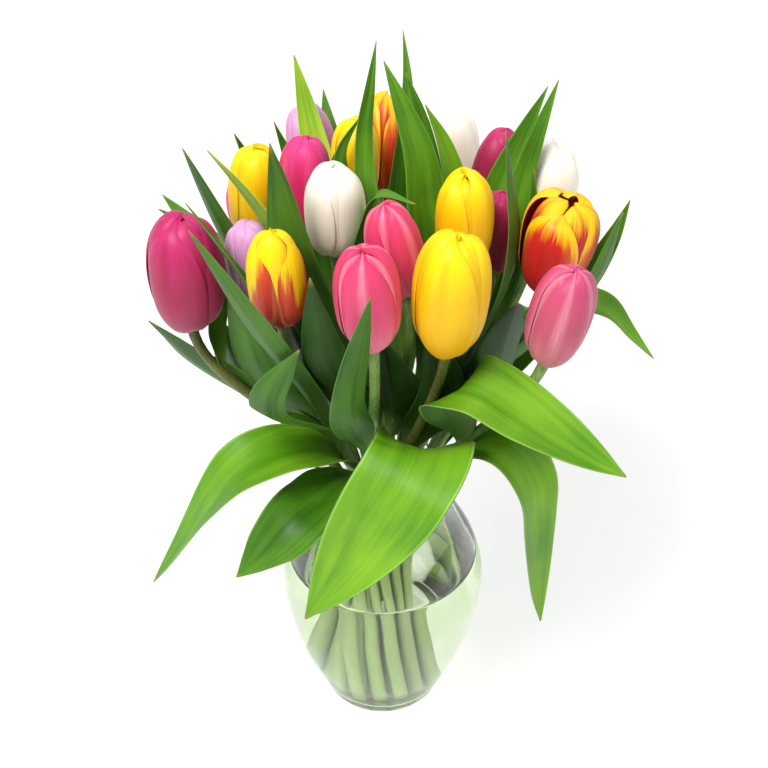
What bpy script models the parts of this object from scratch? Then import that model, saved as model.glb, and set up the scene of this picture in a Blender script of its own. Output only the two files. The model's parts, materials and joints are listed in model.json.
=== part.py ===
"""A bunch of mixed tulips standing in a clear glass rose-bowl vase.

Metres, +Z up. The origin is the middle of the vase's foot. Each tulip is a stem
with its leaves grown on it and a separate head that sits on the stem's top.
The sizes below are in millimetres.
"""
from math import cos, pi, radians, sin, tan

import bmesh
import bpy
import numpy as np
from mathutils.bvhtree import BVHTree

MM = 0.001
GAP = 0.3            # clearance between neighbouring pieces, mm

# Vase, mm: outside and inside outlines as (radius, height)
VASE_SIDES = 32
VASE_OUTSIDE = [(44.0, 180.0), (41.5, 175.5), (38.5, 168.0), (39.5, 161.0), (44.5, 151.0),
                (53.5, 138.0), (60.5, 123.0), (64.6, 108.0), (65.2, 96.0), (63.5, 80.0),
                (60.0, 62.0), (54.5, 42.0), (47.0, 22.0), (41.5, 8.0), (39.5, 2.0), (37.5, 0.0)]
VASE_INSIDE = [(36.5, 8.0), (43.9, 22.0), (51.6, 42.0), (57.2, 62.0), (60.8, 80.0),
               (62.5, 96.0), (61.9, 108.0), (57.8, 123.0), (51.0, 138.0), (42.2, 151.0),
               (37.1, 161.0), (36.0, 168.0), (39.0, 175.5), (41.4, 180.2)]

# Stems, mm
STEM_RADIUS = 3.0
GLASS_FLOOR = 8.0    # the cut ends stand on the glass floor
NECK_HEIGHT = 172.0
NECK_RADIUS = 29.0   # the bunch is gathered to this at the neck
NECK_GATHER = 0.193  # a stem's reach at the neck over its head's reach
STEM_SPACING = 8.8
TWIST = radians(64)  # the stems cross like a spiral-tied bunch
SWIRL = radians(-16)
FOOT_DRAW = 0.96     # the feet stand a little closer together than the neck

# Leaves, mm
LEAF_THICKNESS = 1.2
LEAF_ROWS = 8
LEAF_CLEARANCE = 0.75

# A closed head: half-widths at heights up the head, both as fractions
HEAD_LEVELS = (0.0, 0.05, 0.20, 0.42, 0.65, 0.84, 0.95, 1.0)
HEAD_HALVES = (0.0, 0.50, 0.87, 1.00, 0.94, 0.70, 0.42, 0.0)

# The bunch, mm: the heads' feet lie on a dome that falls away from its middle
DOME_TOP = 352.0
DOME_FALL = 0.0029   # drop per square of the reach
BACK_LIFT = 0.05     # the far side of the dome is held a little higher
LEAN_BACK = 0.003    # slope of a head for each mm it stands behind the middle
LEAN_FRONT = 0.002   # and before the middle
LOW_RING = 140.0     # reach of the low heads at the back
LOW_FOOT = 262.0     # height of their feet
LOW_LENGTH = 60
LOW_LEAN = 0.62

# Width of a head for its length
SHAPES = {"slim": 0.50, "full": 0.53, "plump": 0.59, "open": 0.67}

# Heads: place of the foot to the right and back, lean to the right in degrees,
# length, how far it hangs below the dome, shape, colour
HEADS = {
    1: (-108, -18, -1, 76, 0, "plump", "magenta"),
    2: (-76, 46, 3, 60, 0, "slim", "yellow"),
    3: (-38, 117, -11, 62, 0, "slim", "lilac"),
    4: (-44, 40, 0, 60, 0, "full", "pink"),
    5: (-26, 6, -1, 60, 0, "plump", "white"),
    6: (-73, 0, -3, 52, 12, "full", "lilac"),
    7: (-55, -43, -3, 66, 0, "slim", "flame"),
    8: (-2, 118, 5, 62, 0, "slim", "ember"),
    9: (-16, 84, 0, 56, 6, "full", "yellow"),
    10: (13, -31, -11, 63, 0, "slim", "rose"),
    11: (-5, -61, -4, 70, 4, "full", "rose"),
    12: (45, -1, 0, 64, 0, "full", "yellow"),
    13: (35, -54, 2, 86, 12, "slim", "yellow"),
    14: (46, 118, -5, 62, 0, "plump", "white"),
    15: (60, 86, 18, 50, -6, "full", "magenta"),
    16: (93, 65, 7, 64, 0, "plump", "white"),
    17: (92, 3, 12, 60, 0, "open", "ember"),
    18: (90, -53, 10, 67, 0, "full", "pinkLilac"),
    19: (64, 20, 3, 52, 12, "full", "magenta"),
}

# The low heads at the back: bearing in degrees, colour
LOW_HEADS = {
    20: (122, "pink"),
    21: (106, "yellow"),
    22: (85, "magenta"),
    23: (66, "lilac"),
    24: (50, "ember"),
}

# Leaves: tulip, height where it leaves the stem, facing in degrees, turn at the
# tip in degrees, width, the place it bends towards, the place of its tip
LEAVES = {
    "front_fold": (13, 195, -105, 10, 60, (20, -88, 272), (-45, -108, 170)),
    "right_arch": (18, 215, -45, 0, 50, (46, -66, 312), (135, -92, 268)),
    "left_droop": (7, 195, 200, 20, 46, (-76, -52, 240), (-140, -60, 150)),
    "left_blunt": (11, 190, 225, 0, 46, (-46, -72, 218), (-85, -92, 188)),
    "right_droop": (18, 200, -30, 20, 38, (80, -62, 252), (97, -72, 128)),
    "front_blade": (11, 215, -90, 0, 24, (-18, -75, 300), (-6, -94, 394)),
    "left_curl": (7, 205, 235, 30, 28, (-64, -64, 290), (-44, -74, 344)),
    "left_dark": (1, 195, 240, 0, 44, (-86, 0, 245), (-135, -5, 310)),
    "left_ribbed": (7, 235, 245, 0, 22, (-64, -72, 352), (-98, -72, 420)),
    "left_broad": (6, 200, 250, 0, 38, (-66, -28, 280), (-85, -35, 360)),
    "left_back": (6, 190, 235, 0, 28, (-80, 10, 245), (-100, 5, 310)),
    "heart_blade": (5, 215, 265, 0, 32, (-46, -22, 350), (-58, -22, 440)),
    "heart_dark": (5, 200, 260, 0, 36, (-30, -44, 305), (-38, -52, 374)),
    "front_dark": (10, 195, -80, 0, 42, (8, -40, 270), (0, -58, 340)),
    "left_narrow": (6, 225, 240, 0, 20, (-70, -30, 345), (-105, -25, 405)),
    "left_high": (2, 220, 230, 0, 28, (-86, 22, 342), (-112, 34, 402)),
    "left_cross": (4, 240, 240, 0, 17, (-64, 10, 365), (-95, 8, 417)),
    "far_left": (1, 235, 170, 20, 20, (-98, 24, 335), (-127, 26, 366)),
    "middle_spear": (10, 240, 95, 0, 14, (-10, 34, 385), (-3, 50, 460)),
    "middle_dark": (12, 235, 100, 0, 26, (24, 16, 385), (1, 32, 459)),
    "top_thin": (8, 225, 90, 20, 14, (14, 76, 395), (12, 92, 444)),
    "top_short": (14, 230, 95, 0, 15, (28, 58, 375), (13, 66, 432)),
    "middle_bright": (12, 225, 90, 0, 22, (42, 30, 372), (24, 44, 428)),
    "heart_pair_a": (9, 235, 120, 0, 18, (-24, 46, 375), (-12, 56, 408)),
    "heart_pair_b": (9, 220, 100, 0, 16, (-28, 62, 355), (-18, 74, 390)),
    "heart_arch": (5, 250, 20, 0, 24, (-6, 2, 380), (18, -10, 392)),
    "right_tall_a": (15, 215, 75, 0, 22, (68, 62, 355), (95, 74, 418)),
    "right_tall_b": (16, 225, 80, 0, 18, (80, 74, 345), (100, 88, 410)),
    "right_blade": (19, 205, -70, 0, 22, (72, -10, 345), (66, 2, 434)),
    "right_inner": (16, 215, 60, 0, 16, (82, 22, 345), (85, 24, 396)),
    "right_outer": (17, 205, 40, 0, 24, (120, 24, 318), (140, 22, 375)),
    "right_low": (17, 215, -50, 0, 22, (114, -4, 324), (132, -6, 386)),
    "right_hook": (24, 205, -20, 0, 32, (118, 36, 292), (166, 24, 258)),
    "right_broad": (17, 205, -60, 0, 40, (62, -30, 285), (74, -46, 355)),
    "right_dark": (12, 205, -80, 0, 22, (36, -28, 278), (42, -30, 330)),
    "top_pale": (3, 215, 95, 0, 24, (-42, 98, 370), (-53, 112, 420)),
    "upper_left_a": (4, 215, 100, 0, 17, (-54, 76, 360), (-65, 84, 392)),
    "upper_left_b": (2, 215, 110, 0, 20, (-75, 64, 355), (-88, 70, 393)),
    "back_left": (20, 200, 140, 0, 30, (-92, 92, 270), (-140, 125, 310)),
    "back_left_low": (21, 195, 125, 0, 34, (-60, 100, 235), (-100, 148, 168)),
    "back_middle": (22, 200, 85, 0, 32, (7, 116, 258), (18, 180, 215)),
    "back_right": (23, 200, 65, 0, 28, (52, 104, 275), (78, 150, 335)),
    "back_right_low": (24, 195, 45, 0, 32, (88, 88, 242), (135, 128, 195)),
    "back_upright": (21, 215, 100, 0, 24, (-28, 122, 312), (-38, 165, 365)),
    "back_upright_right": (14, 210, 70, 0, 22, (25, 110, 312), (22, 132, 370)),
    "inner_left": (2, 200, 200, 0, 22, (-52, 26, 275), (-56, 18, 330)),
    "inner_right": (16, 200, 0, 0, 26, (70, 42, 280), (98, 40, 335)),
    "inner_front": (13, 215, -80, 0, 30, (34, -26, 268), (26, -30, 322)),
    "inner_far": (19, 195, -90, 0, 38, (48, -4, 262), (56, 0, 318)),
    "inner_back": (8, 195, 90, 0, 36, (0, 62, 258), (-4, 80, 310)),
}

PETAL_COLOURS = {
    "magenta": (0.62, 0.06, 0.26),
    "pink": (0.78, 0.10, 0.32),
    "rose": (0.80, 0.14, 0.30),
    "pinkLilac": (0.66, 0.17, 0.42),
    "lilac": (0.55, 0.28, 0.60),
    "yellow": (0.92, 0.64, 0.02),
    "white": (0.85, 0.82, 0.70),
    "flame": (0.85, 0.28, 0.04),
    "ember": (0.80, 0.12, 0.03),
}
LEAF_COLOUR = (0.06, 0.20, 0.03)
GLASS_COLOUR = (0.90, 0.96, 0.93)


# ---------- small vector helpers ----------

def unit(vector):
    vector = np.asarray(vector, float)
    return vector / max(np.linalg.norm(vector), 1e-9)


def hermite(start, end, leave, arrive, t):
    """A point on a cubic between start and end with the given end speeds."""
    a = 2 * t ** 3 - 3 * t ** 2 + 1
    b = t ** 3 - 2 * t ** 2 + t
    c = 3 * t ** 2 - 2 * t ** 3
    d = t ** 3 - t ** 2
    return a * start + b * leave + c * end + d * arrive


def even_steps(path, count):
    """The path measured out again at count + 1 evenly spaced points."""
    lengths = np.linalg.norm(np.diff(path, axis=0), axis=1)
    travelled = np.concatenate([[0.0], np.cumsum(lengths)])
    marks = np.linspace(0.0, travelled[-1], count + 1)
    return np.stack([np.interp(marks, travelled, path[:, k]) for k in range(3)], axis=1)


def turned(vector, axis, angle):
    """The vector turned about a unit axis."""
    along = axis * np.dot(axis, vector)
    return along + (vector - along) * cos(angle) + np.cross(axis, vector) * sin(angle)


# ---------- heads: where they stand on the dome ----------

def dome_head(x, y, side_lean, length, hang, shape, colour):
    """Foot, axis, length, width and colour of a head on the dome."""
    height = DOME_TOP - DOME_FALL * (x ** 2 + y ** 2) + BACK_LIFT * max(y, 0) - hang
    lean = y * (LEAN_BACK if y > 0 else LEAN_FRONT)
    axis = unit((tan(radians(side_lean)), lean, 1.0))
    return np.array([x, y, height]), axis, length, length * SHAPES[shape], colour


def low_head(bearing, colour):
    """The same for a head of the low ring, which leans straight outwards."""
    out = np.array([cos(radians(bearing)), sin(radians(bearing)), 0.0])
    foot = out * LOW_RING + np.array([0.0, 0.0, LOW_FOOT])
    axis = unit(out * LOW_LEAN + np.array([0.0, 0.0, 1.0]))
    return foot, axis, LOW_LENGTH, LOW_LENGTH * SHAPES["full"], colour


def all_heads():
    heads = {number: dome_head(*values) for number, values in HEADS.items()}
    heads.update({number: low_head(*values) for number, values in LOW_HEADS.items()})
    return heads


# ---------- stems ----------

def neck_places(heads):
    """Where each stem passes the neck: its head's direction, spread until none touch."""
    numbers = sorted(heads)
    places = np.array([heads[n][0][:2] for n in numbers]) * NECK_GATHER
    for _ in range(400):
        push = np.zeros_like(places)
        for i in range(len(places)):
            for j in range(i):
                apart = places[i] - places[j]
                distance = max(np.linalg.norm(apart), 1e-6)
                short = STEM_SPACING - distance
                if short > 0:
                    push[i] += apart / distance * short * 0.3
                    push[j] -= apart / distance * short * 0.3
        places = places + push
        reach = np.linalg.norm(places, axis=1)
        for i in range(len(places)):
            if reach[i] > NECK_RADIUS:
                places[i] *= NECK_RADIUS / reach[i]
    return {n: places[k] for k, n in enumerate(numbers)}


def swirled(place, angle):
    return np.array([place[0] * cos(angle) - place[1] * sin(angle),
                     place[0] * sin(angle) + place[1] * cos(angle)])


def stem_path(place, head):
    """Foot, neck and head joined by a straight run and a curve."""
    base, axis = head[:2]
    neck = np.array([*swirled(place, SWIRL), NECK_HEIGHT])
    foot = np.array([*swirled(place, SWIRL + TWIST) * FOOT_DRAW, GLASS_FLOOR])
    tilt = unit(neck - foot)
    foot[2] += GAP + STEM_RADIUS * np.hypot(tilt[0], tilt[1])
    top = base - axis * GAP
    climb = np.linalg.norm(top - neck)
    onward = unit(unit(neck - foot) + unit(top - neck))
    points = [foot + (neck - foot) * t for t in (0.0, 0.5)]
    for k in range(7):
        points.append(hermite(neck, top, onward * climb, axis * climb * 0.8, k / 6))
    return np.array(points)


def point_at_height(path, height):
    """The stem's point and direction at a height."""
    for a, b in zip(path[:-1], path[1:]):
        if a[2] <= height <= b[2]:
            return a + (b - a) * (height - a[2]) / (b[2] - a[2]), unit(b - a)
    return path[-1], unit(path[-1] - path[-2])


# ---------- leaves ----------

def leaf_line(root, direction, bend, tip):
    """The midrib: leaves the stem along it, passes the bend and ends at the tip."""
    knots = [root, np.array(bend, float), np.array(tip, float)]
    first = np.linalg.norm(knots[1] - knots[0])
    speeds = [direction * first * 1.1, (knots[2] - knots[0]) * 0.5, (knots[2] - knots[1]) * 1.1]
    path = []
    for k in range(2):
        for t in np.linspace(0, 1, 20, endpoint=(k == 1)):
            path.append(hermite(knots[k], knots[k + 1], speeds[k], speeds[k + 1], t))
    return np.array(path)


def leaf_width(t):
    """Narrow where it clasps the stem, widest below the middle, pointed at the tip."""
    if t < 0.42:
        return 0.26 + 0.74 * sin(pi / 2 * t / 0.42)
    return 1.0 - 0.96 * ((t - 0.42) / 0.58) ** 2.0


def leaf_frame(line, facing, turn):
    """Side and outward directions at each point of the midrib."""
    tangents = np.gradient(line, axis=0)
    level = np.array([-sin(radians(facing)), cos(radians(facing)), 0.0])
    sides, outs = [], []
    last = len(line) - 1
    for k in range(len(line)):
        along = unit(tangents[k])
        side = unit(level - along * np.dot(level, along))
        side = turned(side, along, radians(turn) * (k / last) ** 2)
        sides.append(side)
        outs.append(np.cross(side, along))
    return np.array(sides), np.array(outs)


def leaf_point(line, sides, outs, width, across, k):
    """A point of the blade: across runs from -1 to 1, k is the row."""
    t = k / (len(line) - 1)
    half = 0.5 * width * leaf_width(t)
    cup = 0.55 - 0.40 * min(t / 0.4, 1.0)
    return line[k] + sides[k] * across * half * (1 - 0.25 * cup) - outs[k] * cup * half * abs(across)


# ---------- rough outlines used only to keep neighbours apart ----------

def grid_faces(rows, columns, closed):
    faces = []
    for i in range(rows - 1):
        for j in range(columns if closed else columns - 1):
            n = (j + 1) % columns
            faces.append((i * columns + j, i * columns + n, (i + 1) * columns + n))
            faces.append((i * columns + j, (i + 1) * columns + n, (i + 1) * columns + j))
    return faces


def stem_outline(path, radius):
    rows = []
    for k in range(len(path)):
        along = unit(path[min(k + 1, len(path) - 1)] - path[max(k - 1, 0)])
        side = unit(np.cross(along, (0.0, 1.0, 0.2)))
        other = np.cross(along, side)
        rows += [path[k] + (side * cos(a) + other * sin(a)) * radius
                 for a in np.linspace(0, 2 * pi, 8, endpoint=False)]
    return BVHTree.FromPolygons([tuple(p) for p in rows], grid_faces(len(path), 8, True))


def head_shape(t, angle, width):
    """Half-width of a closed head at a height from 0 to 1, slightly three-sided."""
    lobes = 1.0 + 0.05 * cos(3 * angle)
    return np.interp(t, HEAD_LEVELS, HEAD_HALVES) * width * 0.5 * lobes


def head_outline(head, margin):
    base, axis, length, width, colour = head
    side = unit(np.cross((0.0, 1.0, 0.0), axis))
    other = np.cross(axis, side)
    rows = []
    for t in HEAD_LEVELS:
        for a in np.linspace(0, 2 * pi, 12, endpoint=False):
            reach = head_shape(t, a, width) + margin
            rows.append(base + axis * (t * (length + 2 * margin) - margin)
                        + (side * cos(a) + other * sin(a)) * reach)
    return BVHTree.FromPolygons([tuple(p) for p in rows], grid_faces(8, 12, True))


def leaf_outline(line, facing, turn, width, margin):
    sides, outs = leaf_frame(line, facing, turn)
    points = []
    for shift in (-margin, margin):
        for k in range(len(line)):
            grow = 1.0 + 2 * margin / max(width, 1.0)
            for across in (-grow, 0.0, grow):
                points.append(leaf_point(line, sides, outs, width, across, k) + outs[k] * shift)
    rows = len(line)
    faces = grid_faces(rows, 3, False)
    faces = faces + [tuple(v + rows * 3 for v in face) for face in faces]
    return BVHTree.FromPolygons([tuple(p) for p in points], faces)


def vase_outline():
    ring = np.linspace(0, 2 * pi, 24, endpoint=False)
    profile = VASE_OUTSIDE[:6][::-1] + [(43.8, 181.5)] + VASE_INSIDE[::-1][:6]
    points = [(r * cos(a), r * sin(a), z) for r, z in profile for a in ring]
    return BVHTree.FromPolygons(points, grid_faces(len(profile), 24, True))


# ---------- settling the leaves among each other ----------

def leaf_choices():
    """Small changes to try, the least first: depth, height on the stem, turn of the face."""
    depths = (0, 5, -5, 10, -10, 15, -15, 20, -20, 26, -26)
    heights = (0, 12, -10, 24, 36)
    faces = (0, 15, -15, 30, -30, 45, -45)
    choices = [(abs(d) * 1.0 + abs(h) * 0.5 + abs(f) * 0.35, d, h, f)
               for d in depths for h in heights for f in faces]
    return sorted(choices)


def settled_leaf(name, path, choice):
    """The leaf's midrib with one choice of small changes made."""
    number, height, facing, turn, width, bend, tip = LEAVES[name]
    cost, depth, lift, swing = choice
    away = np.array([0.0, 0.77, -0.64]) * depth
    root, direction = point_at_height(path, height + lift)
    bend = np.array(bend, float) + away
    tip = np.array(tip, float) + away * 0.9
    line = even_steps(leaf_line(root, direction, bend, tip), LEAF_ROWS)
    return line, facing + swing, turn, width


def settle_leaves(paths, heads):
    """Place the leaves one by one, each clear of the stems, heads and earlier leaves."""
    stems = {n: stem_outline(paths[n], STEM_RADIUS + 0.5) for n in paths}
    buds = {n: head_outline(heads[n], 0.5) for n in heads}
    vase = vase_outline()
    placed = {}
    trees = {}
    choices = leaf_choices()
    for name in LEAVES:
        number = LEAVES[name][0]
        best = None
        for choice in choices:
            leaf = settled_leaf(name, paths[number], choice)
            tree = leaf_outline(*leaf, LEAF_THICKNESS / 2 + LEAF_CLEARANCE)
            others = [stems[n] for n in stems if n != number] + list(buds.values())
            others += [vase] + list(trees.values())
            touches = 0
            for other in others:
                touches += len(tree.overlap(other))
                if best is not None and touches >= best[0]:
                    break
            if best is None or touches < best[0]:
                best = (touches, leaf, choice)
            if touches == 0:
                break
        if best[0]:
            print("still touching:", name, best[0], best[2])
        placed[name] = best[1]
        trees[name] = leaf_outline(*best[1], LEAF_THICKNESS / 2 + 0.1)
    return placed


# ---------- building ----------

def clear_scene():
    for thing in list(bpy.data.objects):
        bpy.data.objects.remove(thing, do_unlink=True)


def new_material(name, colour, roughness, transmission=0.0):
    material = bpy.data.materials.new(name)
    material.use_nodes = True
    shader = material.node_tree.nodes["Principled BSDF"]
    shader.inputs["Base Color"].default_value = (*colour, 1.0)
    shader.inputs["Roughness"].default_value = roughness
    shader.inputs["Metallic"].default_value = 0.0
    shader.inputs["Transmission Weight"].default_value = transmission
    return material


def add_object(name, mesh, collection, material):
    thing = bpy.data.objects.new(name, mesh)
    collection.objects.link(thing)
    if material:
        mesh.materials.append(material)
    return thing


def build_vase(collection):
    """The glass turned from one closed outline."""
    mesh = bpy.data.meshes.new("vase")
    sketch = bmesh.new()
    outline = [(0.0, 8.0)] + VASE_INSIDE + VASE_OUTSIDE + [(0.0, 0.0)]
    corners = [sketch.verts.new((r * MM, 0.0, z * MM)) for r, z in outline]
    for a, b in zip(corners[:-1], corners[1:]):
        sketch.edges.new((a, b))
    sketch.to_mesh(mesh)
    sketch.free()
    vase = add_object("vase", mesh, collection,
                      new_material("vase_glass", GLASS_COLOUR, 0.03, 1.0))
    turn = vase.modifiers.new("turned", "SCREW")
    turn.angle = 2 * pi
    turn.steps = VASE_SIDES
    turn.render_steps = VASE_SIDES
    turn.use_merge_vertices = True
    turn.merge_threshold = 0.0001
    turn.use_normal_calculate = False
    mesh.shade_smooth()
    return vase


def build_tube(name, path, radius):
    """A round stem along its path, made a mesh so that leaves can be joined to it."""
    curve = bpy.data.curves.new(name, "CURVE")
    curve.dimensions = "3D"
    curve.bevel_depth = radius * MM
    curve.bevel_resolution = 1
    curve.use_fill_caps = True
    spline = curve.splines.new("POLY")
    spline.points.add(len(path) - 1)
    for point, place in zip(spline.points, path):
        point.co = (*(place * MM), 1.0)
    thing = bpy.data.objects.new(name, curve)
    bpy.context.scene.collection.objects.link(thing)
    graph = bpy.context.evaluated_depsgraph_get()
    mesh = bpy.data.meshes.new_from_object(thing.evaluated_get(graph))
    bpy.data.objects.remove(thing, do_unlink=True)
    weld = bmesh.new()
    weld.from_mesh(mesh)
    bmesh.ops.remove_doubles(weld, verts=weld.verts, dist=0.00005)
    bmesh.ops.recalc_face_normals(weld, faces=weld.faces)
    weld.to_mesh(mesh)
    weld.free()
    return mesh


def build_leaf(name, leaf, collection):
    """A blade bent from a flat grid and thickened."""
    line, facing, turn, width = leaf
    sides, outs = leaf_frame(line, facing, turn)
    sheet = bmesh.new()
    bmesh.ops.create_grid(sheet, x_segments=2, y_segments=LEAF_ROWS, size=0.5)
    for corner in sheet.verts:
        across = corner.co.x * 2
        row = int(round((corner.co.y + 0.5) * LEAF_ROWS))
        corner.co = leaf_point(line, sides, outs, width, across, row) * MM
    mesh = bpy.data.meshes.new(name)
    sheet.to_mesh(mesh)
    sheet.free()
    leaf_object = add_object(name, mesh, collection, None)
    shell = leaf_object.modifiers.new("thickness", "SOLIDIFY")
    shell.thickness = LEAF_THICKNESS * MM
    shell.offset = 0.0
    leaf_object.hide_render = True
    leaf_object.display_type = "WIRE"
    return leaf_object


def build_head(number, head, collection):
    """A closed head shaped from a ball: narrow foot, full belly, drawn-in tip."""
    base, axis, length, width, colour = head
    side = unit(np.cross((0.0, 1.0, 0.0), axis))
    other = np.cross(axis, side)
    ball = bmesh.new()
    bmesh.ops.create_uvsphere(ball, u_segments=12, v_segments=7, radius=1.0)
    levels = sorted({round(v.co.z, 4) for v in ball.verts})
    for corner in ball.verts:
        t = HEAD_LEVELS[levels.index(round(corner.co.z, 4))]
        angle = np.arctan2(corner.co.y, corner.co.x)
        reach = head_shape(t, angle, width)
        corner.co = (base + axis * t * length + (side * cos(angle) + other * sin(angle)) * reach) * MM
    bmesh.ops.recalc_face_normals(ball, faces=ball.faces)
    name = "bloom_%02d" % number
    mesh = bpy.data.meshes.new(name)
    ball.to_mesh(mesh)
    ball.free()
    mesh.shade_smooth()
    return add_object(name, mesh, collection,
                      new_material(name + "_petal", PETAL_COLOURS[colour], 0.45))


def build_stem(number, path, leaves, collection, cutters):
    """One stem with its own leaves grown on to it."""
    name = "stem_%02d" % number
    mesh = build_tube(name, path, STEM_RADIUS)
    stem = add_object(name, mesh, collection, new_material(name + "_green", LEAF_COLOUR, 0.5))
    for leaf_name, leaf in leaves:
        blade = build_leaf("leaf_" + leaf_name, leaf, cutters)
        join = stem.modifiers.new(leaf_name, "BOOLEAN")
        join.operation = "UNION"
        join.solver = "EXACT"
        join.object = blade
    return stem


def main():
    clear_scene()
    parts = bpy.data.collections.new("tulips_in_vase")
    cutters = bpy.data.collections.new("tulip_leaf_blades")
    bpy.context.scene.collection.children.link(parts)
    bpy.context.scene.collection.children.link(cutters)
    build_vase(parts)
    heads = all_heads()
    places = neck_places(heads)
    paths = {number: stem_path(places[number], heads[number]) for number in sorted(heads)}
    leaves = settle_leaves(paths, heads)
    for number in sorted(heads):
        own = [(name, leaves[name]) for name in LEAVES if LEAVES[name][0] == number]
        build_stem(number, paths[number], own, parts, cutters)
        build_head(number, heads[number], parts)


main()
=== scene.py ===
import json
from math import cos, exp, pi, radians, sin

import bmesh
import bpy
import numpy as np
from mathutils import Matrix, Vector


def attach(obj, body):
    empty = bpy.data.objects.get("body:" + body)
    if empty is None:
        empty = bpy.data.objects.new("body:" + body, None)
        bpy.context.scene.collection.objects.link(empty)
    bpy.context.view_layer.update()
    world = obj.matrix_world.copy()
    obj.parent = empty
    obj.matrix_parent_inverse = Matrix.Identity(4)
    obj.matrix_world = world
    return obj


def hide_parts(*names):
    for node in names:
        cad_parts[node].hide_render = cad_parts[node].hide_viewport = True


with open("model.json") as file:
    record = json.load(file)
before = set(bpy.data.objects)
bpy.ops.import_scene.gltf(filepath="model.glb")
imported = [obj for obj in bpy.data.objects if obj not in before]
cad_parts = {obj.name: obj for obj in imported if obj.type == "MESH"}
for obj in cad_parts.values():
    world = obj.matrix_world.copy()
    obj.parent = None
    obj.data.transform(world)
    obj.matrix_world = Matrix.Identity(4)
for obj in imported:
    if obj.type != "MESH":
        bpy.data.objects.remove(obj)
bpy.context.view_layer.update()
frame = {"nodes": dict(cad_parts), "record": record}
mm = 0.001
tulipNumbers = sorted(int(node[-2:]) for node in frame["nodes"] if node.startswith("bloom_"))


def unit(vector):
    vector = np.asarray(vector, float)
    return vector / max(np.linalg.norm(vector), 1e-9)


def hermite(start, end, leave, arrive, t):
    a = 2 * t ** 3 - 3 * t ** 2 + 1
    b = t ** 3 - 2 * t ** 2 + t
    c = 3 * t ** 2 - 2 * t ** 3
    d = t ** 3 - t ** 2
    return a * start + b * leave + c * end + d * arrive


def evenSteps(path, count):
    lengths = np.linalg.norm(np.diff(path, axis=0), axis=1)
    travelled = np.concatenate([[0.0], np.cumsum(lengths)])
    marks = np.linspace(0.0, travelled[-1], count + 1)
    return np.stack([np.interp(marks, travelled, path[:, k]) for k in range(3)], axis=1)


def smoothKeys(t, marks, values, firstSlope=None):
    # a smooth curve through values placed at marks
    k = int(np.clip(np.searchsorted(marks, t) - 1, 0, len(marks) - 2))
    span = marks[k + 1] - marks[k]

    def slopeAt(i):
        if i == 0 and firstSlope is not None:
            return firstSlope
        low, high = max(i - 1, 0), min(i + 1, len(marks) - 1)
        return (values[high] - values[low]) / (marks[high] - marks[low])

    u = (t - marks[k]) / span
    return hermite(values[k], values[k + 1], slopeAt(k) * span, slopeAt(k + 1) * span, u)


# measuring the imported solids

def weldedCopy(node):
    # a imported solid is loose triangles, so a copy is merged before it is measured
    sheet = bmesh.new()
    sheet.from_mesh(frame["nodes"][node].data)
    bmesh.ops.remove_doubles(sheet, verts=sheet.verts, dist=0.00001)
    return sheet


def measuredHead(number):
    # foot and tip are the two corners furthest apart
    sheet = weldedCopy("bloom_%02d" % number)
    points = np.array([corner.co for corner in sheet.verts]) / mm
    sheet.free()
    gaps = np.linalg.norm(points[:, None] - points[None], axis=2)
    a, b = np.unravel_index(np.argmax(gaps), gaps.shape)
    foot, tip = sorted((points[a], points[b]), key=lambda point: point[2])
    axis = unit(tip - foot)
    off = points - foot
    off = off - np.outer(off @ axis, axis)
    width = 2 * np.linalg.norm(off, axis=1).max() / headLooks["lobes"] * headLooks["widthFit"]
    return foot, axis, np.linalg.norm(tip - foot) * headLooks["lengthFit"], width


def measuredOutline(node):
    # the vase's turned outline, read up the outside and down the inside
    sheet = weldedCopy(node)
    rim = [c for c in sheet.verts if abs(c.co.y) < 0.01 * mm and c.co.x > 1 * mm]
    here = min(rim, key=lambda corner: corner.co.z)
    walk = []
    while here:
        walk.append((here.co.x / mm, here.co.z / mm))
        rim.remove(here)
        ahead = [edge.other_vert(here) for edge in here.link_edges]
        ahead = [corner for corner in ahead if corner in rim]
        here = min(ahead, key=lambda corner: (corner.co - here.co).length) if ahead else None
    sheet.free()
    top = max(range(len(walk)), key=lambda k: walk[k][1] + 0.1 * walk[k][0])
    return walk[:top + 1], walk[top + 1:]


# stems: a spiral-tied bunch, worked out from where the heads stand,
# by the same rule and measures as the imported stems

stemLooks = {
    "radius": 3.0,
    "glassFloor": 8.0,
    "gap": 0.3,
    "neckHeight": 172.0,
    "neckRadius": 29.0,
    "neckGather": 0.193,
    "spacing": 8.8,
    "twist": radians(64),
    "swirl": radians(-16),
    "footDraw": 0.96,
    "sides": 14,
    "rows": 46,
    "footSwell": 0.10,
    "topSwell": 0.16,
    "topSwellFrom": 0.93,
    "wobble": 0.03,
    "differ": 0.10,       # how much the stems differ in thickness at the foot
    "clearance": 0.3,     # a corner this far off the stem belongs to a leaf
    "settleSteps": 400,
}


def neckPlaces(heads):
    numbers = sorted(heads)
    places = np.array([heads[n][0][:2] for n in numbers]) * stemLooks["neckGather"]
    for _ in range(stemLooks["settleSteps"]):
        push = np.zeros_like(places)
        for i in range(len(places)):
            for j in range(i):
                apart = places[i] - places[j]
                distance = max(np.linalg.norm(apart), 1e-6)
                short = stemLooks["spacing"] - distance
                if short > 0:
                    push[i] += apart / distance * short * 0.3
                    push[j] -= apart / distance * short * 0.3
        places = places + push
        reach = np.linalg.norm(places, axis=1)
        for i in range(len(places)):
            if reach[i] > stemLooks["neckRadius"]:
                places[i] *= stemLooks["neckRadius"] / reach[i]
    return {n: places[k] for k, n in enumerate(numbers)}


def swirled(place, angle):
    return np.array([place[0] * cos(angle) - place[1] * sin(angle),
                     place[0] * sin(angle) + place[1] * cos(angle)])


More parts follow.
